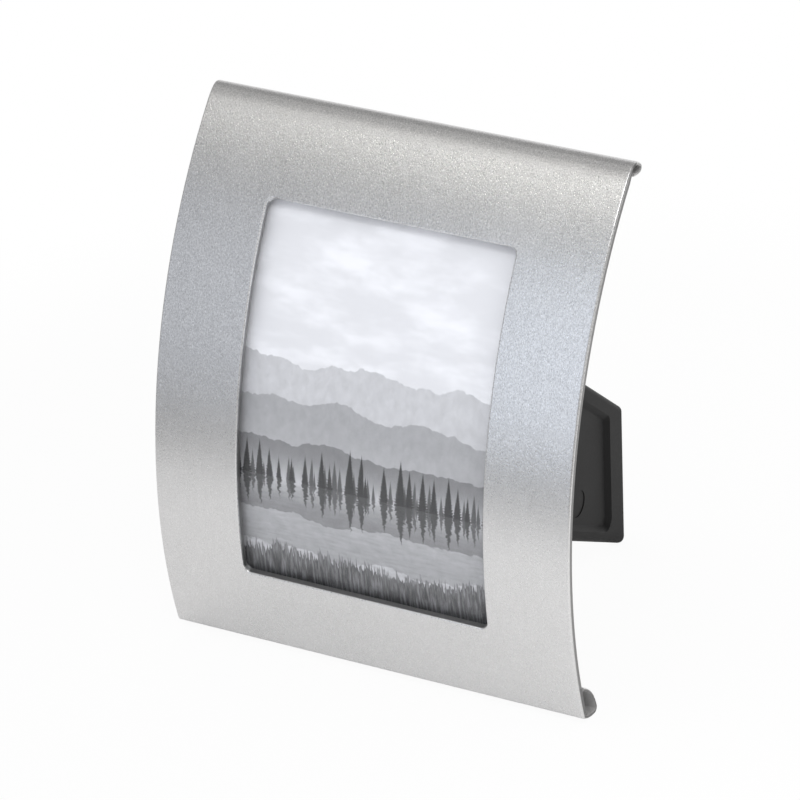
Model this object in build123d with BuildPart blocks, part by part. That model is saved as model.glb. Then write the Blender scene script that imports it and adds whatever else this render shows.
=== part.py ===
"""A bowed aluminium photo frame for a small print, standing on a swing-out leg.

The face is one aluminium section, bowed forward about a line across the frame, with its top
and bottom edges curled backward. A black moulded carrier is taped behind it. The carrier holds a
clear lens, and behind that a print and a backing card that slide out to the right. A rear
cover closes the carrier, and the leg swings on a pin in the cover's knuckles.

X runs across the frame, Y runs backward and Z runs up. The origin is on the table, under the
middle of the whole frame. Sizes are in millimetres and degrees.

The side view is drawn in two directions of the leaning frame: depth, measured backward from
the foremost line of the face, and height, measured upward along the face from that line.
"""

import math
import os

from build123d import *

# The print, a standard small one, and how far the window overlaps its edges
print_width = 63.5
print_length = 88.9
print_sheet = 0.3
window_overlap = 3.25

# The bowed face, with the bands of sheet around its window
bow_radius = 115.0
lean = 15.44
sheet = 1.5
side_band = 19.4
top_band = 19.4
bottom_band = 18.4
face_edge_round = 0.35
window_corner = 1.7

# The curled edges: each has a crown, a flat, a tight back and a return toward the face, and
# the top one eases out of the bow by a shoulder
curl_sheet = 0.7
top_shoulder_inset = 2.0
top_shoulder_radius = 12.0
top_shoulder_turn = 15.0
top_crown_radius = 2.5
top_crown_turn = 61.0
top_flat_radius = 8.0
top_flat_turn = 12.0
top_back_radius = 1.1
top_back_turn = 133.0
top_return_radius = 6.0
top_return_turn = 27.0
bottom_crown_radius = 1.5
bottom_crown_turn = 42.0
bottom_flat_radius = 8.7
bottom_flat_turn = 32.0
bottom_back_radius = 1.2
bottom_back_turn = 103.5
bottom_return_radius = 11.0
bottom_return_turn = 49.0

# The layers behind the face
tape = 0.5
tape_side_width = 2.8
tape_top_width = 2.8
tape_bottom_width = 1.7
lens = 1.0
lens_margin = 1.25
card = 0.6
card_tab_reach = 8.0
card_tab_width = 14.0
card_tab_corner = 2.0
pad = 0.8
pad_inset = 2.75
seat_gap = 0.05
slide_gap = 0.15
side_gap = 0.3

# The carrier and its rear cover
carrier_side = 2.7
carrier_end = 4.0
carrier_corner = 3.0
wall = 1.8
platen = 1.6
platen_clear = 0.5
cover = 2.0
cover_lip = 1.0
cover_lip_wall = 1.2
cover_round = 0.6

# The four screws of the rear cover
screw_radius = 1.0
screw_length = 5.0
screw_head_radius = 1.9
screw_head = 1.1
screw_slot_width = 0.5
screw_slot_depth = 0.5
screw_hold_gap = 0.02
screw_head_gap = 0.2
screw_inset = 5.5
boss_radius = 2.8
boss_depth = 4.9

# The leg, its pin and its knuckles
leg_length = 58.2
leg_back = 33.6
leg_back_tilt = 2.3
leg_top_slope = 26.5
leg_bottom_slope = 15.55
leg_sheet = 2.6
leg_recess = 1.0
leg_recess_slope = 1.2
leg_recess_corner = 1.2
leg_rear_rim = 6.6
leg_bottom_rim = 2.4
leg_top_rim = 3.7
leg_root_rim = 3.0
leg_edge_round = 1.3
leg_corner = 1.5
foot_flat = 0.3
mould_mark_radius = 3.0
mould_mark_depth = 0.15
mould_mark_forward = 24.3
mould_mark_rise = 15.1
hinge_inset = 13.1
knuckle_radius = 2.3
knuckle_length = 6.0
knuckle_side_gap = 0.3
knuckle_round_gap = 0.4
hinge_floor_gap = 0.2
pin_radius = 0.9
pin_running_gap = 0.05
pin_hold_gap = 0.02
pin_blind_end = 1.5
pin_chamfer = 0.22
stop_width = 2.6
stop_gap = 0.05
rest_bump_radius = 2.0
rest_bump_inset = 14.0

# How far a cut runs past the surface that it starts from
overrun = 1.0

# Directions of the leaning frame
lean_sin = math.sin(math.radians(lean))
lean_cos = math.cos(math.radians(lean))
backward = (0, lean_cos, -lean_sin)
upward = (0, lean_sin, lean_cos)


def bow_point(radius, angle):
    """A point of the side view, at an angle above the foremost line of the bow."""
    turn = math.radians(angle)
    return (bow_radius - radius * math.cos(turn), radius * math.sin(turn))


def arc_angle(length, radius):
    """The angle that an arc of this length takes up at this radius."""
    return math.degrees(length / radius)


def angle_at(height, radius):
    """The angle at which the bow of this radius reaches a height."""
    return math.degrees(math.asin(height / radius))


def curl_bends(angle, bends):
    """The bends of a curled edge, the first tangent to the bow and each to the one before.

    Each bend is given as an outer radius and a turn, and comes back as the centre, the outer
    radius, the angle at which it starts and the turn.
    """
    hand = math.copysign(1, -angle)
    centre = (bow_radius, 0)
    radius = bow_radius
    facing = 180 - angle
    found = []
    for next_radius, turn in bends:
        shift = radius - next_radius
        slope = math.radians(facing)
        centre = (centre[0] + shift * math.cos(slope), centre[1] + shift * math.sin(slope))
        radius = next_radius
        found.append((centre, radius, facing, hand * turn))
        facing += hand * turn
    return found


def drop_of(centre, radius, start, turn):
    """How far below the foremost line a bend of the lower curl reaches."""
    down = 270 + lean
    lowest = math.radians(min(max(down, start), start + turn))
    depth = centre[0] + radius * math.cos(lowest)
    height = centre[1] + radius * math.sin(lowest)
    return depth * lean_sin - height * lean_cos


# The face and its window, as angles of the bow
window_width = print_width - 2 * window_overlap
window_length = print_length - 2 * window_overlap
face_width = window_width + 2 * side_band
half_bow = arc_angle(window_length + top_band + bottom_band, bow_radius) / 2
top_bow = half_bow - arc_angle(top_shoulder_inset, bow_radius)
window_half = arc_angle(window_length, bow_radius) / 2
window_middle = arc_angle(bottom_band - top_band, bow_radius) / 2

# Radii of the layers behind the face
face_back = bow_radius - sheet
carrier_front = face_back - tape
lens_back = carrier_front - lens
channel_front = lens_back - seat_gap
print_front = channel_front - slide_gap
print_back = print_front - print_sheet
card_front = print_back - seat_gap
card_back = card_front - card
channel_floor = card_back - slide_gap
pad_floor = channel_floor - pad
platen_back = pad_floor - platen

# Widths of the layers, and half the angle that each takes up
lens_width = print_width + 2 * lens_margin
pad_width = print_width - 2 * pad_inset
lens_half = arc_angle(print_length + 2 * lens_margin, carrier_front) / 2
print_half = arc_angle(print_length, print_front) / 2
card_half = arc_angle(print_length, card_front) / 2
pad_half = arc_angle(print_length - 2 * pad_inset, channel_floor) / 2
layer_gap = arc_angle(side_gap, channel_front)

# The carrier, as wide and as high as the lens pocket and its walls ask for
pocket_half = lens_half + layer_gap
pocket_width = lens_width + 2 * side_gap
carrier_width = pocket_width + 2 * carrier_side
carrier_low = bow_point(carrier_front, window_middle - pocket_half)[1] - carrier_end
carrier_high = bow_point(carrier_front, window_middle + pocket_half)[1] + carrier_end
carrier_height = carrier_high - carrier_low
carrier_middle = (carrier_high + carrier_low) / 2
inner_width = carrier_width - 2 * wall
inner_low = carrier_low + wall
inner_high = carrier_high - wall
platen_depth = bow_point(platen_back, angle_at(inner_low, platen_back))[0]
carrier_back_depth = platen_depth + platen_clear + cover_lip
cover_back_depth = carrier_back_depth + cover
screw_x = carrier_width / 2 - screw_inset
screw_height = carrier_height / 2 - screw_inset
screw_head_depth = cover_back_depth - screw_head
screw_tip_depth = screw_head_depth - screw_length

# The bends of both curled edges, and how high the frame stands on the lower one
top_bends = curl_bends(
    top_bow,
    (
        (top_shoulder_radius, top_shoulder_turn),
        (top_crown_radius, top_crown_turn),
        (top_flat_radius, top_flat_turn),
        (top_back_radius, top_back_turn),
        (top_return_radius, top_return_turn),
    ),
)
bottom_bends = curl_bends(
    -half_bow,
    (
        (bottom_crown_radius, bottom_crown_turn),
        (bottom_flat_radius, bottom_flat_turn),
        (bottom_back_radius, bottom_back_turn),
        (bottom_return_radius, bottom_return_turn),
    ),
)
apex_z = max(drop_of(*bend) for bend in bottom_bends)

# The leg stands on the table at its length behind the hinge, with a small flat on its corner
hinge_x = carrier_width / 2 - hinge_inset
hinge_depth = cover_back_depth + knuckle_radius + hinge_floor_gap
foot_depth = hinge_depth + leg_length
foot_height = (foot_depth * lean_sin - apex_z) / lean_cos
leg_reach = foot_depth * lean_cos + foot_height * lean_sin
front_reach = bow_radius * (1 - lean_cos)
apex_y = (front_reach - leg_reach) / 2
half_corner = math.radians(90 - leg_bottom_slope - lean) / 2
corner_drop = leg_corner * (1 / math.tan(half_corner) - 1) + foot_flat
corner_point = (foot_depth + corner_drop * lean_sin, foot_height - corner_drop * lean_cos)
back_slope = math.radians(lean - leg_back_tilt)
leg_back_top = (
    corner_point[0] - leg_back * math.sin(back_slope),
    corner_point[1] + leg_back * math.cos(back_slope),
)


def leg_bottom_at(depth):
    """The height of the leg's bottom edge at this depth."""
    return corner_point[1] + (corner_point[0] - depth) * math.tan(math.radians(leg_bottom_slope))


def leg_top_at(depth):
    """The height of the leg's top edge at this depth."""
    return leg_back_top[1] + (leg_back_top[0] - depth) * math.tan(math.radians(leg_top_slope))


root_low = leg_bottom_at(hinge_depth)
root_high = leg_top_at(hinge_depth)
barrel_low = root_low + knuckle_length + knuckle_side_gap
barrel_high = root_high - knuckle_length - knuckle_side_gap

side = Plane(origin=(0, apex_y, apex_z), x_dir=backward, z_dir=(1, 0, 0))


def rear_plane(depth):
    """The plane at this depth, seen from behind, centred on the carrier."""
    place = side.from_local_coords((depth, carrier_middle, 0))
    return Plane(origin=place, x_dir=(-1, 0, 0), z_dir=backward)


def hinge_plane(height):
    """The plane across the hinge at this height, centred on its axis: X, then depth."""
    place = side.from_local_coords((hinge_depth, height, hinge_x))
    return Plane(origin=place, x_dir=(1, 0, 0), z_dir=upward)


def bow_slab(outer, inner, low, high, left, right, mode=Mode.ADD):
    """Adds or cuts a slab of the bow between two radii, two angles and two places across."""
    with BuildSketch(side.offset(left)) as section:
        with BuildLine():
            front = CenterArc((bow_radius, 0), outer, 180 - high, high - low)
            back = CenterArc((bow_radius, 0), inner, 180 - high, high - low)
            Line(front @ 0, back @ 0)
            Line(front @ 1, back @ 1)
        make_face()
    extrude(section.sketch, amount=right - left, mode=mode)


def window_slab(outer, inner, half, width, mode=Mode.ADD):
    """Adds or cuts a slab of the bow that is centred on the window."""
    low = window_middle - half
    high = window_middle + half
    bow_slab(outer, inner, low, high, -width / 2, width / 2, mode)


def curled_edge(bends):
    """Adds a curled edge of the face, across its whole width."""
    with BuildSketch(side.offset(-face_width / 2)) as section:
        with BuildLine():
            outside = [CenterArc(*bend) for bend in bends]
            inside = [
                CenterArc(centre, radius - curl_sheet, start, turn)
                for centre, radius, start, turn in bends
            ]
            Line(outside[0] @ 0, inside[0] @ 0)
            Line(outside[-1] @ 1, inside[-1] @ 1)
        make_face()
    extrude(section.sketch, amount=face_width)


def shoulder_taper(centre, radius, start, turn):
    """Adds a wedge behind the shoulder, from the sheet's thickness down to the curl's."""
    end = math.radians(start + turn)
    reach = radius - curl_sheet
    thin = (centre[0] + reach * math.cos(end), centre[1] + reach * math.sin(end))
    with BuildSketch(side.offset(-face_width / 2)) as section:
        with BuildLine():
            outside = CenterArc(centre, radius, start, turn)
            Polyline(outside @ 0, bow_point(face_back, top_bow), thin, outside @ 1)
        make_face()
    extrude(section.sketch, amount=face_width)


def bowed_block(front_radius, low, high, back_depth, width, mode=Mode.ADD):
    """Adds or cuts a block with a bowed front and a flat back."""
    start = angle_at(low, front_radius)
    end = angle_at(high, front_radius)
    with BuildSketch(side.offset(-width / 2)) as section:
        with BuildLine():
            front = CenterArc((bow_radius, 0), front_radius, 180 - end, end - start)
            Polyline(front @ 1, (back_depth, low), (back_depth, high), front @ 0)
        make_face()
    extrude(section.sketch, amount=width, mode=mode)


def screw_circles(radius, mode=Mode.ADD):
    """Draws a circle at each of the four screws in the current sketch."""
    with GridLocations(2 * screw_x, 2 * screw_height, 2, 2):
        Circle(radius, mode=mode)


def save(piece, name):
    """Labels a finished piece and writes it."""
    piece.part.label = name
    export_step(piece.part, "parts/" + name + ".step")


os.makedirs("parts", exist_ok=True)

# The face: a bowed sheet with both edges curled backward and a window punched in it
with BuildPart() as window_tool:
    window_slab(bow_radius + overrun, face_back - overrun, window_half, window_width)
    across = window_tool.edges().filter_by(GeomType.LINE).filter_by(Axis.X, reverse=True)
    fillet(across, window_corner)

with BuildPart() as face:
    bow_slab(bow_radius, face_back, -half_bow, top_bow, -face_width / 2, face_width / 2)
    curled_edge(bottom_bends)
    curled_edge(top_bends)
    shoulder_taper(*top_bends[0])
    add(window_tool.part, mode=Mode.SUBTRACT)
    arcs = face.edges().filter_by(GeomType.CIRCLE)
    front_rims = arcs.filter_by(lambda e: abs(e.radius - bow_radius) < face_edge_round)
    fillet(front_rims, face_edge_round)
save(face, "face")

# Four strips of double-sided tape that hold the carrier behind the face
tape_low = angle_at(carrier_low, carrier_front) + arc_angle(side_gap, face_back)
tape_high = angle_at(carrier_high, carrier_front) - arc_angle(side_gap, face_back)
tape_outer = carrier_width / 2 - seat_gap
tape_inner = tape_outer - tape_side_width
strip_end = tape_inner - side_gap
top_strip_low = tape_high - arc_angle(tape_top_width, face_back)
bottom_strip_high = tape_low + arc_angle(tape_bottom_width, face_back)
strips = {
    "tape_left": (tape_low, tape_high, -tape_outer, -tape_inner),
    "tape_right": (tape_low, tape_high, tape_inner, tape_outer),
    "tape_top": (top_strip_low, tape_high, -strip_end, strip_end),
    "tape_bottom": (tape_low, bottom_strip_high, -strip_end, strip_end),
}
for name, (low, high, left, right) in strips.items():
    with BuildPart() as strip:
        bow_slab(face_back, carrier_front, low, high, left, right)
    save(strip, name)

# The clear lens, seated on a ledge of the carrier
with BuildPart() as lens_cover:
    window_slab(carrier_front, lens_back, lens_half, lens_width)
save(lens_cover, "lens")

# The print, and the stiff card behind it with its pull tab
with BuildPart() as photo_print:
    window_slab(print_front, print_back, print_half, print_width)
save(photo_print, "photo_print")

tab_half = arc_angle(card_tab_width, card_front) / 2
tab_end = print_width / 2 + card_tab_reach
with BuildPart() as backing_card:
    window_slab(card_front, card_back, card_half, print_width)
    bow_slab(card_front, card_back, window_middle - tab_half, window_middle + tab_half, 0, tab_end)
    tab_corners = backing_card.faces().sort_by(Axis.X)[-1].edges().filter_by(GeomType.LINE)
    fillet(tab_corners, card_tab_corner)
save(backing_card, "backing_card")

# The foam pad that backs the card, glued into a recess of the platen
with BuildPart() as pressure_pad:
    window_slab(channel_floor, pad_floor, pad_half, pad_width)
save(pressure_pad, "pressure_pad")

# The carrier: a shallow box with a bowed front, open at the back and slotted on the right
channel_low = window_middle - print_half - layer_gap
channel_high = window_middle + print_half + layer_gap
channel_side = print_width / 2 + side_gap
with BuildPart() as carrier:
    bowed_block(carrier_front, carrier_low, carrier_high, carrier_back_depth, carrier_width)
    box_edges = carrier.edges().filter_by(GeomType.LINE).filter_by(Axis(side.origin, backward))
    fillet(box_edges, carrier_corner)
    hollow_back = carrier_back_depth + overrun
    bowed_block(platen_back, inner_low, inner_high, hollow_back, inner_width, Mode.SUBTRACT)
    with BuildSketch(rear_plane(carrier_back_depth)):
        screw_circles(boss_radius)
    extrude(amount=-boss_depth)
    pocket_front = carrier_front + overrun
    window_slab(pocket_front, channel_front, pocket_half, pocket_width, Mode.SUBTRACT)
    slot = (channel_floor, channel_low, channel_high)
    bow_slab(pocket_front, *slot, -channel_side, channel_side, Mode.SUBTRACT)
    bow_slab(channel_front, *slot, 0, carrier_width, Mode.SUBTRACT)
    pad_seat_width = pad_width + 2 * side_gap
    window_slab(channel_front, pad_floor, pad_half + layer_gap, pad_seat_width, Mode.SUBTRACT)
    with BuildSketch(rear_plane(screw_tip_depth - side_gap)):
        screw_circles(screw_radius + screw_hold_gap)
    extrude(amount=carrier_back_depth, mode=Mode.SUBTRACT)
save(carrier, "carrier")

# The rear cover, with its lip, screw holes, rest bump and the two knuckles of the hinge
lip_width = inner_width - 2 * side_gap
lip_height = inner_high - inner_low - 2 * side_gap
rest_bump_place = (carrier_width / 2 - rest_bump_inset, (root_high + root_low) / 2 - carrier_middle)
rest_bump = hinge_floor_gap + knuckle_radius - leg_sheet / 2 - stop_gap
web = knuckle_radius + hinge_floor_gap
with BuildPart() as rear_cover:
    with BuildSketch(rear_plane(carrier_back_depth)):
        RectangleRounded(carrier_width, carrier_height, carrier_corner)
    extrude(amount=cover)
    back_face = rear_cover.faces().sort_by(Axis(side.origin, backward))[-1]
    fillet(back_face.edges(), cover_round)
    with BuildSketch(rear_plane(carrier_back_depth)):
        Rectangle(lip_width, lip_height)
        Rectangle(lip_width - 2 * cover_lip_wall, lip_height - 2 * cover_lip_wall, mode=Mode.SUBTRACT)
        screw_circles(boss_radius + side_gap + cover_lip_wall, Mode.SUBTRACT)
    extrude(amount=-cover_lip)
    for low in (root_low, root_high - knuckle_length):
        with BuildSketch(hinge_plane(low)):
            Circle(knuckle_radius)
            with Locations((0, -web / 2)):
                Rectangle(2 * knuckle_radius, web)
        extrude(amount=knuckle_length)
    with BuildSketch(hinge_plane(root_low - overrun)):
        Circle(pin_radius + pin_hold_gap)
    extrude(amount=root_high - pin_blind_end - root_low + overrun, mode=Mode.SUBTRACT)
    with BuildSketch(rear_plane(cover_back_depth)):
        with Locations(rest_bump_place):
            Circle(rest_bump_radius)
    extrude(amount=rest_bump)
    with BuildSketch(rear_plane(carrier_back_depth)):
        screw_circles(screw_radius + screw_head_gap)
    extrude(amount=cover + overrun, mode=Mode.SUBTRACT)
    with BuildSketch(rear_plane(screw_head_depth)):
        screw_circles(screw_head_radius + screw_head_gap)
    extrude(amount=screw_head + overrun, mode=Mode.SUBTRACT)
save(rear_cover, "rear_cover")

# Four cross-slotted screws that hold the rear cover on the carrier's bosses
slot_length = 2 * screw_head_radius - screw_slot_width
with BuildPart() as cover_screws:
    with BuildSketch(rear_plane(screw_head_depth)):
        screw_circles(screw_head_radius)
    extrude(amount=screw_head)
    with BuildSketch(rear_plane(cover_back_depth)):
        with GridLocations(2 * screw_x, 2 * screw_height, 2, 2):
            Rectangle(slot_length, screw_slot_width)
            Rectangle(screw_slot_width, slot_length)
    extrude(amount=-screw_slot_depth, mode=Mode.SUBTRACT)
    with BuildSketch(rear_plane(screw_tip_depth)):
        screw_circles(screw_radius)
    extrude(amount=screw_length)
save(cover_screws, "cover_screws")

# The hinge pin, held by the knuckles and closed in at its top end
with BuildPart() as hinge_pin:
    with BuildSketch(hinge_plane(root_low)):
        Circle(pin_radius)
    extrude(amount=root_high - pin_blind_end - pin_hold_gap - root_low)
    chamfer(hinge_pin.faces().sort_by(Axis(side.origin, upward))[0].edges(), pin_chamfer)
save(hinge_pin, "hinge_pin")

# The leg: a moulded plate that stands square to the cover, with a barrel at its root
leg_face_x = hinge_x + leg_sheet / 2
knuckle_clear = knuckle_radius + knuckle_round_gap
recess_front = hinge_depth + knuckle_clear + leg_root_rim
recess_low = leg_bottom_at(recess_front) + leg_bottom_rim
recess_high = leg_top_at(recess_front) - leg_top_rim


def recess_rear(front_height, edge_slope):
    """Where the recess's top or bottom edge meets its rear edge, which follows the leg's back."""
    rise = math.tan(math.radians(edge_slope))
    lean_back = math.tan(back_slope)
    start = corner_point[0] - leg_rear_rim / math.cos(back_slope)
    run = start - recess_front - (front_height - corner_point[1]) * lean_back
    reach = run / (1 - rise * lean_back)
    return (recess_front + reach, front_height - reach * rise)


recess_mouth = (
    (recess_front, recess_low),
    recess_rear(recess_low, leg_bottom_slope),
    recess_rear(recess_high, leg_top_slope),
    (recess_front, recess_high),
)
mark_place = (corner_point[0] - mould_mark_forward, corner_point[1] + mould_mark_rise)
heel = knuckle_radius + hinge_floor_gap - stop_gap
with BuildPart() as leg:
    with BuildSketch(side.offset(hinge_x - leg_sheet / 2)):
        root_corners = ((hinge_depth, root_high), (hinge_depth, root_low))
        Polygon(*root_corners, corner_point, leg_back_top, align=None)
    extrude(amount=leg_sheet)
    rear_corners = leg.edges().filter_by(Axis.X).sort_by(Axis(side.origin, backward))[-2:]
    fillet(rear_corners, leg_corner)
    outer_face = leg.faces().filter_by(Axis.X).sort_by(Axis.X)[-1]
    outer_rim = outer_face.edges().sort_by(Axis(side.origin, backward))[1:]
    fillet(outer_rim, leg_edge_round)
    with BuildSketch(hinge_plane(barrel_low)):
        Circle(knuckle_radius)
        with Locations((stop_width / 2, -heel / 2)):
            Rectangle(stop_width, heel)
    extrude(amount=barrel_high - barrel_low)
    for low, high in ((root_low - overrun, barrel_low), (barrel_high, root_high + overrun)):
        with BuildSketch(hinge_plane(low)):
            Circle(knuckle_clear)
        extrude(amount=high - low, mode=Mode.SUBTRACT)
    with BuildSketch(hinge_plane(barrel_low - overrun)):
        Circle(pin_radius + pin_running_gap)
    extrude(amount=barrel_high - barrel_low + 2 * overrun, mode=Mode.SUBTRACT)
    with BuildSketch(side.offset(leg_face_x)) as mouth:
        Polygon(*recess_mouth, align=None)
        fillet(mouth.vertices(), leg_recess_corner + leg_recess_slope)
    with BuildSketch(side.offset(leg_face_x - leg_recess)):
        Polygon(*recess_mouth, align=None)
        offset(amount=-leg_recess_slope, kind=Kind.INTERSECTION)
        fillet(vertices(), leg_recess_corner)
    loft(mode=Mode.SUBTRACT)
    with BuildSketch(side.offset(leg_face_x - leg_recess)):
        with Locations(mark_place):
            Circle(mould_mark_radius)
    extrude(amount=-mould_mark_depth, mode=Mode.SUBTRACT)
    with BuildSketch(Plane.XY):
        Rectangle(2 * face_width, 2 * leg_reach)
    extrude(amount=-corner_drop, mode=Mode.SUBTRACT)
save(leg, "leg")

hinge_middle = side.from_local_coords((hinge_depth, (barrel_low + barrel_high) / 2, hinge_x))
cover_middle = side.from_local_coords((cover_back_depth, carrier_middle, 0))
print("face", face_width, "carrier", carrier_width, carrier_height, carrier_back_depth)
print("foremost line", apex_y, apex_z, "cover back", cover_middle)
print("hinge axis", hinge_middle, "root", root_low, root_high)
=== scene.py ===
# %% [markdown]
# A bowed aluminium photo frame.
# One section of satin aluminium is bowed forward and curled backward along its top and bottom
# edges. It stands on its lower curl and on a black moulded leg. The CAD model already holds
# every shape, so this lesson is about light and finish: how a bead-blasted metal, a clear
# cover, a printed sheet and moulded plastic are told apart by colour, gloss and grain.

import math

import bmesh
import bpy
from mathutils import Matrix, Vector

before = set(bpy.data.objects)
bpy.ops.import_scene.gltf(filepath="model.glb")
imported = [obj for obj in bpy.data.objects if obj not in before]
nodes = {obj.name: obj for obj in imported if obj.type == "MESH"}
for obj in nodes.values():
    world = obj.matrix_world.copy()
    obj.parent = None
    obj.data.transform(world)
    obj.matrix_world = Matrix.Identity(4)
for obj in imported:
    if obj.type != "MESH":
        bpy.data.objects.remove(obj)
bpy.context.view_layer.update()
print("nodes", sorted(nodes))

# %% [markdown]
# The face leans backward, and its bow has one centre line. Every pattern on the metal and on
# the print follows that leaning face, so its lean is named once here. Blender works in metres,
# and the real sizes are in millimetres, so one value turns one into the other.

# %% Name the frame's own sizes
MM = 0.001
LEAN = math.radians(15.44)
BOW_RADIUS = 115.0 * MM
BOW_CENTRE = (0.0, 79.008 * MM, 31.118 * MM)
WINDOW_HALF = 28.5 * MM

# %% [markdown]
# A shader is a small network of nodes. Written out node by node it is long and hard to read,
# so two small classes make it short. A Wire is one socket, and sums written with wires add the
# Math nodes. A Finish is one material, and its node method makes every node in it.

# %% Shader maths as sums
class Wire:
    """A socket of a material's nodes, for writing shader maths as sums."""

    def __init__(self, finish, socket):
        self.finish = finish
        self.socket = socket

    def maths(self, operation, *values):
        """A Math node on this wire and other wires or numbers."""
        return self.finish.maths(operation, self, *values)

    def __add__(self, other):
        return self.maths("ADD", other)

    def __radd__(self, other):
        return self.finish.maths("ADD", other, self)

    def __sub__(self, other):
        return self.maths("SUBTRACT", other)

    def __rsub__(self, other):
        return self.finish.maths("SUBTRACT", other, self)

    def __mul__(self, other):
        return self.maths("MULTIPLY", other)

    def __rmul__(self, other):
        return self.finish.maths("MULTIPLY", other, self)

    def __truediv__(self, other):
        return self.maths("DIVIDE", other)

    def __rtruediv__(self, other):
        return self.finish.maths("DIVIDE", other, self)

    def swing(self, amount):
        """Noise as a change about nothing: half of it adds and half of it takes away."""
        return (self - 0.5) * amount

    def step(self, low, high):
        """Goes smoothly from 0 to 1 between two values."""
        return self.finish.node(
            "ShaderNodeMapRange",
            {"interpolation_type": "SMOOTHSTEP"},
            {"Value": self, "From Min": low, "From Max": high},
        )


# %% One method for every node
class Finish:
    """A material, or the world, and the nodes that are made in it."""

    def __init__(self, owner):
        owner.use_nodes = True
        self.owner = owner
        self.tree = owner.node_tree
        self.tree.nodes.clear()

    def node(self, kind, settings=None, values=None, output=0):
        """Makes a node, sets it, fills or links its sockets, and gives an output as a wire.

        Where outputs are named as a tuple, a list of wires comes back.
        """
        made = self.tree.nodes.new(kind)
        for name, setting in (settings or {}).items():
            setattr(made, name, setting)
        for name, value in (values or {}).items():
            if isinstance(value, Wire):
                self.tree.links.new(value.socket, made.inputs[name])
            else:
                made.inputs[name].default_value = value
        if isinstance(output, tuple):
            return [Wire(self, made.outputs[name]) for name in output]
        return Wire(self, made.outputs[output])

    def maths(self, operation, *values):
        """A Math node on numbers or wires."""
        return self.node("ShaderNodeMath", {"operation": operation}, dict(enumerate(values)))

    def parts_of(self, place):
        """A place as three wires: across, through and along."""
        return self.node("ShaderNodeSeparateXYZ", None, {0: place}, ("X", "Y", "Z"))

    def length_of(self, place):
        """How far a place lies from the origin."""
        return self.node("ShaderNodeVectorMath", {"operation": "LENGTH"}, {0: place}, "Value")

    def stretched(self, place, across, through, along):
        """The same places scaled, so that a pattern is longer where its share is smaller."""
        return self.node("ShaderNodeVectorMath", {"operation": "MULTIPLY"}, {
            0: place, 1: (across, through, along),
        })

    def face_place(self):
        """Places on the leaning face: across it, through it and up along it."""
        coordinates = self.node("ShaderNodeTexCoord", output="Object")
        return self.node("ShaderNodeMapping", None, {
            "Vector": coordinates, "Rotation": (LEAN, 0.0, 0.0),
        })

    def from_axis(self, centre, turn=0.0, halves=(1.0, 1.0)):
        """The distance from a line across the frame, or its share of an ellipse's half axes."""
        coordinates = self.node("ShaderNodeTexCoord", output="Object")
        own = self.node("ShaderNodeMapping", {"vector_type": "TEXTURE"}, {
            "Vector": coordinates, "Location": centre, "Rotation": (turn, 0.0, 0.0),
            "Scale": (1.0, *halves),
        })
        return self.length_of(self.stretched(own, 0.0, 1.0, 1.0))

    def noise(self, place, size, detail=2.0, roughness=0.5):
        """Noise whose blotches are about this size, in metres."""
        return self.node("ShaderNodeTexNoise", None, {
            "Vector": place, "Scale": 1.0 / size, "Detail": detail, "Roughness": roughness,
        })

    def grey(self, value, tint=(1.0, 1.0, 1.0)):
        """A grey whose brightness is a wire, with a slight tint."""
        shades = [value * share for share in tint]
        return self.node("ShaderNodeCombineColor", None, dict(enumerate(shades)))

    def bump(self, height, depth):
        """A bump from a height that runs from 0 to 1, as deep as this."""
        return self.node("ShaderNodeBump", None, {
            "Height": height, "Strength": 1.0, "Distance": depth,
        })

    def rays(self):
        """Three wires that are 1 for rays from the camera, off gloss and through glass."""
        names = ("Is Camera Ray", "Is Glossy Ray", "Is Transmission Ray")
        return self.node("ShaderNodeLightPath", output=names)

    def mix(self, share, first, second):
        """The first shader where the share is 0, and the second where it is 1."""
        return self.node("ShaderNodeMixShader", None, {0: share, 1: first, 2: second})

    def end_in(self, shader, kind="ShaderNodeOutputMaterial"):
        """Links a shader to the output, and gives the material or the world."""
        self.node(kind, None, {"Surface": shader}, ())
        return self.owner

    def surface(self, values):
        """Ends the material in a Principled shader with these values."""
        return self.end_in(self.node("ShaderNodeBsdfPrincipled", None, values))


# %% Make and hand out finishes
def new_finish(name):
    """A fresh material to work on."""
    return Finish(bpy.data.materials.new(name))


def dress(material, *names):
    """Gives CAD nodes their finish."""
    for name in names:
        for slot in nodes[name].material_slots:
            slot.material = material
        print(name, "has", material.name)


# %% [markdown]
# The photograph was taken from the right and from above, with a long lens a little over a metre
# away. The camera was solved from the outlines of the face, its window and the leg. It is
# written here as a place and three angles, which are easier to read than a matrix.

# %% Set up the camera
CAMERA_AZIMUTH = math.radians(30.016)
CAMERA_ELEVATION = math.radians(30.380)
CAMERA_ROLL = math.radians(-3.749)
CAMERA_PLACE = Vector((0.45939, -0.81060, 0.59559))
CAMERA_LENS = 234.0
FILM_WIDTH = 36.0
NEAREST = 0.01
FARTHEST = 50.0

forward = Vector((
    -math.sin(CAMERA_AZIMUTH) * math.cos(CAMERA_ELEVATION),
    math.cos(CAMERA_AZIMUTH) * math.cos(CAMERA_ELEVATION),
    -math.sin(CAMERA_ELEVATION),
))
level = Vector((math.cos(CAMERA_AZIMUTH), math.sin(CAMERA_AZIMUTH), 0.0))
raised = level.cross(forward)
right = math.cos(CAMERA_ROLL) * level + math.sin(CAMERA_ROLL) * raised
up = math.cos(CAMERA_ROLL) * raised - math.sin(CAMERA_ROLL) * level
camera_data = bpy.data.cameras.new("camera")
camera_data.lens = CAMERA_LENS
camera_data.sensor_width = FILM_WIDTH
camera_data.clip_start = NEAREST
camera_data.clip_end = FARTHEST
camera = bpy.data.objects.new("camera", camera_data)
turn = Matrix((right, up, -forward)).transposed().to_4x4()
camera.matrix_world = Matrix.Translation(CAMERA_PLACE) @ turn
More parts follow.
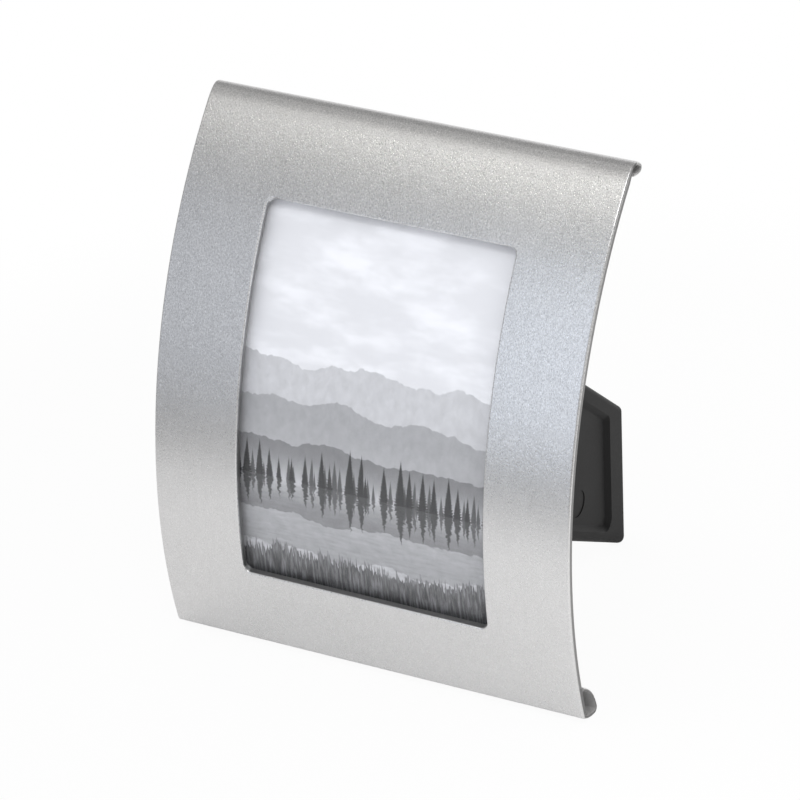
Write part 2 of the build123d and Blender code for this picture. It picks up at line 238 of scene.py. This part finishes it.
bpy.context.scene.collection.objects.link(camera)
bpy.context.scene.camera = camera
print("camera at", tuple(CAMERA_PLACE))

# %% [markdown]
# The face was bead-blasted: thousands of tiny dents scatter the light, so the metal looks
# satin, and each dent that happens to face the lamp sparkles. The dents could be modelled, but
# there are far too many, so three things stand for them. The metal is fairly rough, its bump is
# a fine noise of about a quarter of a millimetre, and its colour flickers a little at the same
# scale, with painted glints on the brightest flecks. Long faint streaks come from the drawn
# section, and wide faint clouds from handling.

# %% Grain and painted glints of the blasted metal
DENT_SIZE = 0.25 * MM
DENT_DEPTH = 0.060 * MM
DENT_STRETCH = 0.6
FLECK_SIZE = 0.20 * MM
PAINTED_GLINT_FLECKS = (0.62, 0.78)
STREAK_SIZE = 1.2 * MM
STREAK_STRETCH = 0.06
CLOUD_SIZE = 14.0 * MM

aluminium = new_finish("blasted_aluminium")
place = aluminium.face_place()
dents = aluminium.stretched(place, 1.0, 1.0, DENT_STRETCH)
grain = aluminium.noise(dents, DENT_SIZE, detail=1.0, roughness=0.6)
flecks = aluminium.noise(dents, FLECK_SIZE, detail=0.0)
# Painted glints: the brightest flecks are lightened in the metal's colour.
painted_glints = flecks.step(*PAINTED_GLINT_FLECKS)
drawn = aluminium.stretched(place, 1.0, 1.0, STREAK_STRETCH)
streaks = aluminium.noise(drawn, STREAK_SIZE, detail=3.0)
clouds = aluminium.noise(place, CLOUD_SIZE)
print("dents", DENT_SIZE, "flecks", FLECK_SIZE, "streaks", STREAK_SIZE)

# %% [markdown]
# The end faces and the window's walls were cut after blasting. They are rougher, and their grey
# is darkened, partly for the sheared metal and partly as painted shade for the shadow in them,
# apart from a thin bright line along the outer arris. In the lower half the painted shade takes
# every cut face at any depth, and the window's sill gets it too, as a painted shadow line. A
# normal that points across the frame tells a cut wall, one that points up tells the window's
# sill, and the distance from the bow's centre line tells how deep in the wall a point lies. In
# the upper half of the face the grain's swing and its glints are painted stronger, as painted
# light where the lamps show the grain most. The bending left the top edge a little rougher, and
# its grey is darkened as painted shade that deepens the dark line along the crown. Each of
# these could be a finish of its own, but the CAD mesh stays as it is and has no edge there, so
# masks on the metal's own places are used. Each pair of numbers is where a mask starts and
# where it is full.

# %% Where the metal was cut or bent, and where light and shade are painted
UPPER_HALF = (35.0 * MM, 65.0 * MM)
ABOVE_SILL = (45.0 * MM, 50.0 * MM)
TOP_EDGE = (105.0 * MM, 109.5 * MM)
SQUARE_TO_CUT = (0.75, 0.95)
ROUNDED_CORNER = (0.15, 0.40)
WINDOW_SIDE = (WINDOW_HALF, WINDOW_HALF + 0.3 * MM)
WALL_DEPTH = (BOW_RADIUS - 1.75 * MM, BOW_RADIUS - 1.60 * MM)
ARRIS_DEPTH = (BOW_RADIUS - 0.70 * MM, BOW_RADIUS - 0.35 * MM)

across, _, along = aluminium.parts_of(place)
facing = aluminium.node("ShaderNodeTexCoord", output="Normal")
right_part, _, upward_part = aluminium.parts_of(facing)
sideways = right_part.maths("ABSOLUTE")
from_bow = aluminium.from_axis(BOW_CENTRE)
# Painted light: the grain's swing and its glints are painted stronger in this upper half, where
# the lamps show the grain most.
upper_lit_half = along.step(*UPPER_HALF)
# Top edge: rougher from bending, and darkened as painted shade along the crown of the top curl.
rough_and_shaded_top = along.step(*TOP_EDGE)
lower_half = 1 - along.step(*ABOVE_SILL)
in_window = 1 - across.maths("ABSOLUTE").step(*WINDOW_SIDE)
sill = upward_part.step(*SQUARE_TO_CUT) * in_window * lower_half
wall = from_bow.step(*WALL_DEPTH)
arris = from_bow.step(*ARRIS_DEPTH)
cut = sideways.step(*SQUARE_TO_CUT)
# Painted shade, partly also the sheared metal's own grey: cut walls, every cut face in the
# lower half and the window's sill are darkened, and the arris keeps its grey.
dull_and_shaded = cut * wall.maths("MAXIMUM", lower_half) * (1 - arris) + sill
rounded = sideways.step(*ROUNDED_CORNER)
print("top edge from", TOP_EDGE[0], "up along the face")

# %% [markdown]
# The blasting didn't reach into the curls, so their bores are a chalky grey. A bore is a
# flattened tube, so an ellipse round its own line tells where it is. The lower ellipse touches
# the face's front as well, and the depth behind the bow keeps it off there.

# %% Where the bores of the two curls lie
TOP_BORE = (0.0, 1.04 * MM, 112.18 * MM)
TOP_BORE_TURN = math.radians(160.8)
TOP_BORE_HALVES = (2.23 * MM, 1.14 * MM)
LOW_BORE = (0.0, -31.96 * MM, 5.55 * MM)
LOW_BORE_TURN = math.radians(48.2)
LOW_BORE_HALVES = (2.71 * MM, 7.32 * MM)
BORE_RIM = (0.97, 1.03)
SKIN_DEPTH = (BOW_RADIUS - 0.60 * MM, BOW_RADIUS - 0.45 * MM)

top_share = aluminium.from_axis(TOP_BORE, TOP_BORE_TURN, TOP_BORE_HALVES)
low_share = aluminium.from_axis(LOW_BORE, LOW_BORE_TURN, LOW_BORE_HALVES)
behind_bow = 1 - from_bow.step(*SKIN_DEPTH)
top_bore = 1 - top_share.step(*BORE_RIM)
low_bore = (1 - low_share.step(*BORE_RIM)) * behind_bow
bore = top_bore + low_bore
print("bores at", TOP_BORE, LOW_BORE)

# %% [markdown]
# Grain, masks and metal come together in one Principled shader. Brightness is a sum of the
# metal's own grey, the swings of its grain and its painted glints, and each mask then takes a
# share away: painted shade on the cut walls, the sill and the top edge, and oxide in the bores.
# A bore is only partly metallic, because chalky oxide scatters more light than it mirrors.

# %% Finish of the aluminium face
METAL_GREY = 0.785
METAL_TINT = (1.0, 0.995, 0.992)
METAL_ROUGHNESS = 0.30
GRAIN_SHADE = 0.18
# Painted light: the extra grain swing in the upper half.
UPPER_LIT_GRAIN_SHADE = 0.50
# Painted glints on the brightest flecks, stronger in the upper half.
PAINTED_GLINT_LIGHT = 0.05
UPPER_PAINTED_GLINT_LIGHT = 0.15
STREAK_SHADE = 0.06
CLOUD_SHADE = 0.03
# Painted shade on the cut walls and the sill, partly the sheared metal's own grey.
DULL_AND_PAINTED_SHADE = 0.6
BORE_SHADE = 0.42
# Painted shade along the crown of the top edge.
TOP_EDGE_PAINTED_SHADE = 0.12
FLECK_ROUGHNESS = 0.16
CLOUD_ROUGHNESS = 0.05
DULL_ROUGHNESS = 0.16
BORE_ROUGHNESS = 0.3
WORKED_ROUGHNESS = 0.07
GRAIN_RELIEF = 0.6
FLECK_RELIEF = 0.4
LEVEL_RELIEF = 0.5
BORE_OXIDE = 0.8

# The grain's swing is its own tone; its extra swing in the upper half and the glints are
# painted light.
grain_and_glints = grain.swing(GRAIN_SHADE + upper_lit_half * UPPER_LIT_GRAIN_SHADE)
grain_and_glints = grain_and_glints + painted_glints * (PAINTED_GLINT_LIGHT + upper_lit_half * UPPER_PAINTED_GLINT_LIGHT)
bright = METAL_GREY + grain_and_glints + streaks.swing(STREAK_SHADE) + clouds.swing(CLOUD_SHADE)
# Painted shade on the cut walls, the sill and the top edge, and chalky oxide in the bores, each
# take a share of the grey.
kept_under_shade_and_oxide = (1 - dull_and_shaded * DULL_AND_PAINTED_SHADE) * (1 - bore * BORE_SHADE - rough_and_shaded_top * TOP_EDGE_PAINTED_SHADE)
relief = grain * GRAIN_RELIEF + flecks * FLECK_RELIEF
relief = relief * (1 - rounded) + rounded * LEVEL_RELIEF
rough = METAL_ROUGHNESS + flecks.swing(FLECK_ROUGHNESS) + clouds.swing(CLOUD_ROUGHNESS)
rough = rough + rough_and_shaded_top * WORKED_ROUGHNESS + dull_and_shaded * DULL_ROUGHNESS + bore * BORE_ROUGHNESS
aluminium_look = aluminium.surface({
    "Base Color": aluminium.grey(bright * kept_under_shade_and_oxide, METAL_TINT),
    "Metallic": 1 - bore * BORE_OXIDE,
    "Roughness": rough,
    "Normal": aluminium.bump(relief, DENT_DEPTH),
})
dress(aluminium_look, "face")

# %% [markdown]
# The cover over the print is clear, with a faint anti-glare texture. It lets light through and
# mirrors a little of the room, more at a shallow angle, which is what a Fresnel node gives. A
# glass shader could do it, but it would darken the print, so a transparent shader lets the
# light through. That one doesn't bend light, so a ray that leaves the cover would be trapped
# at angles where real light gets out. The back faces therefore mirror nothing.

# %% Finish of the clear cover
COVER_IOR = 1.46
COVER_ROUGHNESS = 0.22
COVER_TINT = (0.995, 0.998, 0.998, 1.0)

clear = new_finish("clear_cover")
fresnel = clear.node("ShaderNodeFresnel", None, {"IOR": COVER_IOR})
back_face = clear.node("ShaderNodeNewGeometry", output="Backfacing")
gloss = clear.node("ShaderNodeBsdfGlossy", None, {"Roughness": COVER_ROUGHNESS})
through = clear.node("ShaderNodeBsdfTransparent", None, {"Color": COVER_TINT})
clear_look = clear.end_in(clear.mix(fresnel * (1 - back_face), through, gloss))
dress(clear_look, "lens")

# %% [markdown]
# The picture is a plain black-and-white view of a lake: a pale sky, three ranges of hills,
# two rows of firs on the far shore and their reflection in the water. Nothing is drawn by hand.
# An image could be used, but noise stays sharp at any size and needs no file. A range of hills
# is a wavy line of noise, and all that lies below the line takes the range's grey, with woods
# on its slope and mist at its foot.

# %% A range of hills
PICTURE_EDGE = 0.12 * MM
WOODS_SIZE = 2.2 * MM
WOODS_SLOPE = 0.7
WOODS_DARKEST = 0.72
WOODS_SHADE = 0.56
MIST_GREY = 0.80
MIST_SHARE = 0.60


def hills(finish, tone, across, height, crest, rise, spread, shade, seed):
    """Covers what lies below a wavy crest with a range's own grey, woods and mist."""
    place = finish.node("ShaderNodeCombineXYZ", None, {0: across, 1: seed})
    ridge = finish.noise(place, spread, detail=8.0, roughness=0.60)
    below_crest = crest + ridge.swing(2.0 * rise) - height
    below = below_crest.step(-PICTURE_EDGE, PICTURE_EDGE)
    slope = finish.node("ShaderNodeCombineXYZ", None, {0: across, 1: below_crest * WOODS_SLOPE})
    woods = finish.noise(slope, WOODS_SIZE, detail=7.0, roughness=0.68)
    mist = 1 - (height / crest).maths("MINIMUM", 1.0)
    grey = shade * (WOODS_DARKEST + woods * WOODS_SHADE)
    grey = grey + mist * mist * (MIST_GREY - shade) * MIST_SHARE
    return tone * (1 - below) + below * grey


# %% [markdown]
# A fir is a narrow triangle with a sawtooth edge, and one Voronoi pattern plants a whole row of
# them at uneven distances. Its Distance output tells how far the trunk is, and its Color output
# is a random number for each tree, which sets the tree's height and the place of its boughs.

# %% A row of firs
FIR_RANDOMNESS = 0.85
SMALLEST_FIR = 0.45
BOUGH_HEIGHT = 0.055
BOUGH_SHIFT = 7.0
NEEDLE_SIZE = 0.5 * MM
LEAST_REACH = 0.65
BOUGH_REACH = 0.45
NEEDLE_REACH = 0.8
DARKEST_NEEDLE = 0.7
NEEDLE_SHADE = 0.6
FIR_EDGE = (-0.08 * MM, 0.12 * MM)


def firs(finish, tone, across, height, gap, tall, slim, shade, seed):
    """A row of firs: each is as wide as its height below its top allows."""
    from_trunk, own = finish.node(
        "ShaderNodeTexVoronoi",
        {"voronoi_dimensions": "1D"},
        {"W": across / gap + seed, "Scale": 1.0, "Randomness": FIR_RANDOMNESS},
        ("Distance", "Color"),
    )
    luck = finish.node("ShaderNodeSeparateColor", None, {0: own})
    top = tall * (SMALLEST_FIR + luck * (1.0 - SMALLEST_FIR))
    boughs = (height / (BOUGH_HEIGHT * tall) + luck * BOUGH_SHIFT).maths("FRACT")
    place = finish.node("ShaderNodeCombineXYZ", None, {0: across, 1: height})
    ragged = finish.noise(place, NEEDLE_SIZE, detail=3.0)
    width = LEAST_REACH + boughs * BOUGH_REACH + ragged.swing(NEEDLE_REACH)
    inside = ((top - height) * slim * width - from_trunk * gap).step(*FIR_EDGE)
    return tone * (1 - inside) + inside * shade * (DARKEST_NEEDLE + ragged * NEEDLE_SHADE)


# %% [markdown]
# The water is the same view again, turned upside down. The height above the shore is taken
# without its sign, so everything below the shore repeats what stands above it, and ripples
# shift the places that are read there.

# %% Sky and water
SHORE = 33.0 * MM
SHORE_EDGE = 0.05 * MM
RIPPLE_SIZE = 1.6 * MM
RIPPLE_STRETCH = (0.35, 0.0, 2.6)
RIPPLE_ACROSS = 1.6 * MM
RIPPLE_UP = 0.9 * MM
WATER_STRETCH = 0.12
SKY_SIZE = 17.0 * MM
SKY_STRETCH = 2.4
SKY_GREY = 0.75
SKY_CLOUDS = (0.40, 0.68)
CLOUD_LIGHT = 0.14

paper = new_finish("printed_picture")
place = paper.face_place()
across, _, along = paper.parts_of(place)
over_shore = along - SHORE
ripples = paper.noise(paper.stretched(place, *RIPPLE_STRETCH), RIPPLE_SIZE, detail=4.0)
water = (0 - over_shore).step(-SHORE_EDGE, SHORE_EDGE)
seen_across = across + water * ripples.swing(RIPPLE_ACROSS)
height = over_shore.maths("ABSOLUTE") * (1 + water * WATER_STRETCH)
height = height + water * ripples.swing(RIPPLE_UP)
sky_place = paper.node("ShaderNodeCombineXYZ", None, {0: seen_across, 1: height * SKY_STRETCH})
clouds = paper.noise(sky_place, SKY_SIZE, detail=8.0, roughness=0.60)
tone = SKY_GREY + clouds.step(*SKY_CLOUDS) * CLOUD_LIGHT
print("shore", SHORE, "up along the print")

# %% [markdown]
# The ranges and rows are laid over the sky from far to near, each over what is there already.
# Far hills are paler, as they are in real air. The water then gets a little darker than what it
# mirrors, with its ripples on it.

# %% Hills and firs from far to near
RANGES = (
    {"crest": 27.0 * MM, "rise": 9.0 * MM, "spread": 24.0 * MM, "shade": 0.58, "seed": 3.1},
    {"crest": 17.0 * MM, "rise": 7.0 * MM, "spread": 19.0 * MM, "shade": 0.40, "seed": 7.7},
    {"crest": 8.5 * MM, "rise": 4.0 * MM, "spread": 12.0 * MM, "shade": 0.25, "seed": 1.9},
)
ROWS = (
    {"gap": 1.7 * MM, "tall": 7.0 * MM, "slim": 0.15, "shade": 0.110, "seed": 11.0},
    {"gap": 2.9 * MM, "tall": 10.5 * MM, "slim": 0.15, "shade": 0.050, "seed": 4.0},
)
WATER_SHARE = 0.66
RIPPLE_SHADE = 0.50
WATER_LIGHT = 0.04

for values in RANGES:
    tone = hills(paper, tone, seen_across, height, **values)
for values in ROWS:
    tone = firs(paper, tone, seen_across, height, **values)
in_water = tone * (WATER_SHARE + ripples * RIPPLE_SHADE) + WATER_LIGHT
tone = tone * (1 - water) + water * in_water
print(len(RANGES), "ranges of hills and", len(ROWS), "rows of firs")

# %% [markdown]
# Reeds stand on the near bank, at the foot of the picture. They are noise stretched upward, and
# the same noise makes their tips ragged. A film grain lies over the whole picture, as on a
# print from film, and the paper is a little bluish and smooth.

# %% Near bank, film grain and paper
REED_SIZE = 0.55 * MM
REED_STRETCH = 0.11
TUFT_SIZE = 5.0 * MM
TUFT_STRETCH = 0.8
BANK_SIZE = 17.0 * MM
BANK_TOP = 17.0 * MM
BANK_RISE = 12.0 * MM
BANK_EDGE = 0.2 * MM
BANK_GREY = 0.10
TUFT_SHADE = 0.22
REED_LIGHT = 0.9
LIT_REEDS = 0.45
FILM_GRAIN_SIZE = 0.18 * MM
FILM_GRAIN_SHADE = 0.05
BLACKEST_INK = 0.02
PAPER_TINT = (0.945, 0.950, 1.0)
PAPER_ROUGHNESS = 0.32
PAPER_GLOSS = 0.4

reed_place = paper.stretched(place, 1.0, 0.0, REED_STRETCH)
reeds = paper.noise(reed_place, REED_SIZE, detail=4.0, roughness=0.6)
tufts = paper.noise(paper.stretched(place, 1.0, 0.0, TUFT_STRETCH), TUFT_SIZE, detail=4.0)
bank_line = paper.noise(paper.stretched(place, 1.0, 0.0, 0.0), BANK_SIZE)
bank_top = BANK_TOP + bank_line.swing(BANK_RISE) + reeds.swing(BANK_RISE)
bank = (bank_top - along).step(-BANK_EDGE, BANK_EDGE)
lit_reeds = (reeds - LIT_REEDS).maths("MAXIMUM", 0.0)
bank_tone = BANK_GREY + tufts.swing(TUFT_SHADE) + lit_reeds * REED_LIGHT
tone = tone * (1 - bank) + bank * bank_tone
film_grain = paper.noise(place, FILM_GRAIN_SIZE, detail=1.0)
tone = (tone + film_grain.swing(FILM_GRAIN_SHADE)).maths("MAXIMUM", BLACKEST_INK)
paper_look = paper.surface({
    "Base Color": paper.grey(tone, PAPER_TINT),
    "Roughness": PAPER_ROUGHNESS,
    "Specular IOR Level": PAPER_GLOSS,
})
dress(paper_look, "photo_print")

# %% [markdown]
# The moulded parts are black plastic. The carrier and its cover came out of a steel mould with
# a spark-eroded face, which leaves a fine matt grain. The leg is blacker and a little glossier.
# The grain goes into a bump and into the roughness, so that it shows even where no lamp is
# mirrored, and a wide soft noise stands for the wear of handling.

# %% Finishes of the moulded plastic
WEAR_SIZE = 9.0 * MM
WEAR_SHADE = 0.3
WEAR_ROUGHNESS = 0.08
GRAIN_ROUGHNESS = 0.12
PLASTIC_TINT = (0.97, 0.98, 1.0)
PLASTIC_GLOSS = 0.20


def moulded(name, tone, roughness, grain_size, depth):
    """Black moulded plastic with a fine grain."""
    plastic = new_finish(name)
    place = plastic.face_place()
    grain = plastic.noise(place, grain_size, detail=3.0)
    wear = plastic.noise(place, WEAR_SIZE, detail=3.0)
    return plastic.surface({
        "Base Color": plastic.grey(tone + wear.swing(tone * WEAR_SHADE), PLASTIC_TINT),
        "Roughness": roughness + grain.swing(GRAIN_ROUGHNESS) + wear.swing(WEAR_ROUGHNESS),
        "Specular IOR Level": PLASTIC_GLOSS,
        "Normal": plastic.bump(grain, depth),
    })


carrier_look = moulded(
    "carrier_plastic", tone=0.022, roughness=0.50, grain_size=0.25 * MM, depth=0.020 * MM
)
leg_look = moulded(
    "leg_plastic", tone=0.007, roughness=0.48, grain_size=0.30 * MM, depth=0.010 * MM
)
dress(carrier_look, "carrier", "rear_cover")
dress(leg_look, "leg")

# %% [markdown]
# The hidden pieces get plain finishes of their own: pressed grey board, white tape and black
# foam. Each has one grain that changes its grey and its relief, so one function makes all
# three. The board's fibres lie mostly upright, so its grain is stretched along the face.

# %% Finishes of the board, tape and foam
def grained(name, tone, shade, tint, roughness, size, depth, detail, stretch=1.0):
    """A plain matt finish whose one grain changes its grey and its relief."""
    finish = new_finish(name)
    place = finish.stretched(finish.face_place(), 1.0, 1.0, stretch)
    grain = finish.noise(place, size, detail)
    return finish.surface({
        "Base Color": finish.grey(tone + grain.swing(shade), tint),
        "Roughness": roughness,
        "Normal": finish.bump(grain, depth),
    })


board_look = grained(
    "grey_board", tone=0.44, shade=0.16, tint=(1.0, 0.97, 0.92), roughness=0.85,
    size=0.35 * MM, depth=0.03 * MM, detail=4.0, stretch=0.35,
)
tape_look = grained(
    "white_tape", tone=0.72, shade=0.1, tint=(1.0, 1.0, 0.98), roughness=0.7,
    size=0.20 * MM, depth=0.02 * MM, detail=2.0,
)
foam_look = grained(
    "black_foam", tone=0.040, shade=0.03, tint=(1.0, 1.0, 1.0), roughness=0.95,
    size=0.35 * MM, depth=0.12 * MM, detail=2.0,
)
dress(board_look, "backing_card")
dress(tape_look, "tape_left", "tape_right", "tape_top", "tape_bottom")
dress(foam_look, "pressure_pad")

# %% [markdown]
# The screws and the hinge pin are bright zinc-plated steel. It is a metal like the face, but
# smooth, so it needs no bump: fine upright scratches change its grey and its gloss.

# %% Finish of the steel
STEEL_GREY = 0.62
STEEL_ROUGHNESS = 0.28
SCRATCH_SIZE = 0.10 * MM
SCRATCH_STRETCH = 0.15
SCRATCH_SHADE = 0.1

steel = new_finish("bright_steel")
scratched = steel.stretched(steel.face_place(), 1.0, SCRATCH_STRETCH, SCRATCH_STRETCH)
scratches = steel.noise(scratched, SCRATCH_SIZE).swing(SCRATCH_SHADE)
steel_look = steel.surface({
    "Base Color": steel.grey(STEEL_GREY + scratches),
    "Metallic": 1.0,
    "Roughness": STEEL_ROUGHNESS + scratches,
})
dress(steel_look, "cover_screws", "hinge_pin")

# %% [markdown]
# The frame stands on a plain round white table. To the camera the table is almost as bright as
# the white behind it, it fades into that white toward its rim, and it still takes a soft
# shadow. The metal mirrors the table's rim, so the lower part of the bow is light and the part
# above it, which looks over the rim into the room, is darker. With an endless floor the light
# part would reach much further up. The table's grey has painted shade toward the left and
# painted light toward the right, for light that falls unevenly on it, and the metal that
# mirrors it shows the same.

# %% Round table
TABLE_RADIUS = 0.20
TABLE_SEGMENTS = 128

table_mesh = bpy.data.meshes.new("table")
bm = bmesh.new()
bmesh.ops.create_circle(bm, cap_ends=True, segments=TABLE_SEGMENTS, radius=TABLE_RADIUS)
bmesh.ops.recalc_face_normals(bm, faces=bm.faces)
bm.to_mesh(table_mesh)
bm.free()
table = bpy.data.objects.new("table", table_mesh)
bpy.context.scene.collection.objects.link(table)
print("table radius", TABLE_RADIUS)

# %% Finish of the table
FADE_START = 0.13
TABLE_GREY = 0.735
TABLE_PAINTED_FALLOFF = 0.18
SEEN_GLOW = 0.94
MIRRORED_GLOW = 0.02

white = new_finish("white_table")
place = white.node("ShaderNodeTexCoord", output="Object")
fade = white.length_of(place).step(FADE_START, TABLE_RADIUS)
camera_ray, glossy_ray, passing_ray = white.rays()
share = camera_ray * (SEEN_GLOW + fade * (1.0 - SEEN_GLOW))
share = share + (glossy_ray + passing_ray) * MIRRORED_GLOW
to_right, _, _ = white.parts_of(place)
# Painted shade and light: the table's grey is darker toward the left and lighter toward the
# right.
shade = white.grey(TABLE_GREY + to_right / TABLE_RADIUS * TABLE_PAINTED_FALLOFF)
plain = white.node("ShaderNodeBsdfDiffuse", None, {"Color": shade})
glow = white.node("ShaderNodeEmission", None, {"Strength": 1.0})
table_mesh.materials.append(white.end_in(white.mix(share, plain, glow)))
print("table grey", TABLE_GREY, "at its middle")

# %% [markdown]
# The room is a plain even light, which is the softest kind and needs no walls. What metal
# mirrors of it is a dimmer grey, as the walls of a studio are behind the lamps, apart from the
# white backdrop behind the frame, which puts a light line along the top curl.

# %% Room
ROOM_LIGHT = 0.95
MIRRORED_ROOM = 0.34
MIRRORED_BACKDROP = (0.72, 0.84)
ROOM_TINT = (1.0, 0.99, 0.985, 1.0)
WHITE = (1.0, 1.0, 1.0, 1.0)

world = bpy.data.worlds.new("studio")
bpy.context.scene.world = world
room = Finish(world)
backdrop = room.node("ShaderNodeBackground", None, {"Color": WHITE, "Strength": 1.0})
lit = room.node("ShaderNodeBackground", None, {"Color": ROOM_TINT, "Strength": ROOM_LIGHT})
dim = room.node("ShaderNodeBackground", None, {"Color": ROOM_TINT, "Strength": MIRRORED_ROOM})
_, backward, _ = room.parts_of(room.node("ShaderNodeTexCoord", output="Generated"))
camera_ray, glossy_ray, passing_ray = room.rays()
mirrored = room.mix(backward.step(*MIRRORED_BACKDROP), dim, backdrop)
walls = room.mix(glossy_ray, lit, mirrored)
room.end_in(room.mix(camera_ray + passing_ray, walls, backdrop), "ShaderNodeOutputWorld")
print("room light", ROOM_LIGHT, "mirrored", MIRRORED_ROOM)

# %% [markdown]
# Satin metal shows its lamps as soft bands, so the lamps' places set where the face is light
# and where it is dark. The key lamp, high and in front, lights the whole frame. It and the
# narrow high lamp beside it make the bright band near the top of the bow. A wide, dim, bluish
# panel in front lights the middle. A small bluish lamp close in front brightens only the right
# half, and a faint card only the left edge. A last lamp, at the right, draws the thin bright
# line along the cut edge. Sun or point lamps would give hard spots where the photograph has
# soft bands, so every lamp is a rectangle.

# %% Lamps
def lamp(name, place, target, width, height, power, tint=(1.0, 1.0, 1.0)):
    """A soft rectangular lamp that points at a target."""
    data = bpy.data.lights.new(name, "AREA")
    data.shape = "RECTANGLE"
    data.size = width
    data.size_y = height
    data.energy = power
    data.color = tint
    made = bpy.data.objects.new(name, data)
    toward = Vector(target) - Vector(place)
    made.rotation_mode = "QUATERNION"
    made.rotation_quaternion = toward.to_track_quat("-Z", "Y")
    made.location = place
    made.visible_camera = False
    bpy.context.scene.collection.objects.link(made)
    print(name, power, "W")


FRAME_MIDDLE = (0.0, 0.0, 0.06)
lamp(
    "high_lamp", place=(-0.30, -0.42, 0.80), target=FRAME_MIDDLE,
    width=0.26, height=0.11, power=0.28, tint=(1.0, 0.99, 0.94),
)
lamp(
    "key_lamp", place=(0.30, -0.50, 0.90), target=FRAME_MIDDLE,
    width=0.30, height=0.30, power=2.2,
)
lamp(
    "front_panel", place=(-0.50, -0.95, 0.33), target=FRAME_MIDDLE,
    width=1.10, height=0.90, power=0.61, tint=(0.68, 0.79, 1.0),
)
lamp(
    "near_lamp", place=(-0.03, -0.20, 0.14), target=(0.03, -0.03, 0.07),
    width=0.07, height=0.19, power=0.027, tint=(0.80, 0.88, 1.0),
)
lamp(
    "left_card", place=(-0.13, -0.15, 0.12), target=(-0.045, -0.03, 0.09),
    width=0.03, height=0.08, power=0.0010,
)
lamp(
    "side_lamp", place=(0.80, -0.35, 0.20), target=FRAME_MIDDLE,
    width=0.40, height=0.40, power=0.42,
)

# %% [markdown]
# Standard shows colours as they are written.

# %% Colour view
bpy.context.scene.view_settings.view_transform = "Standard"
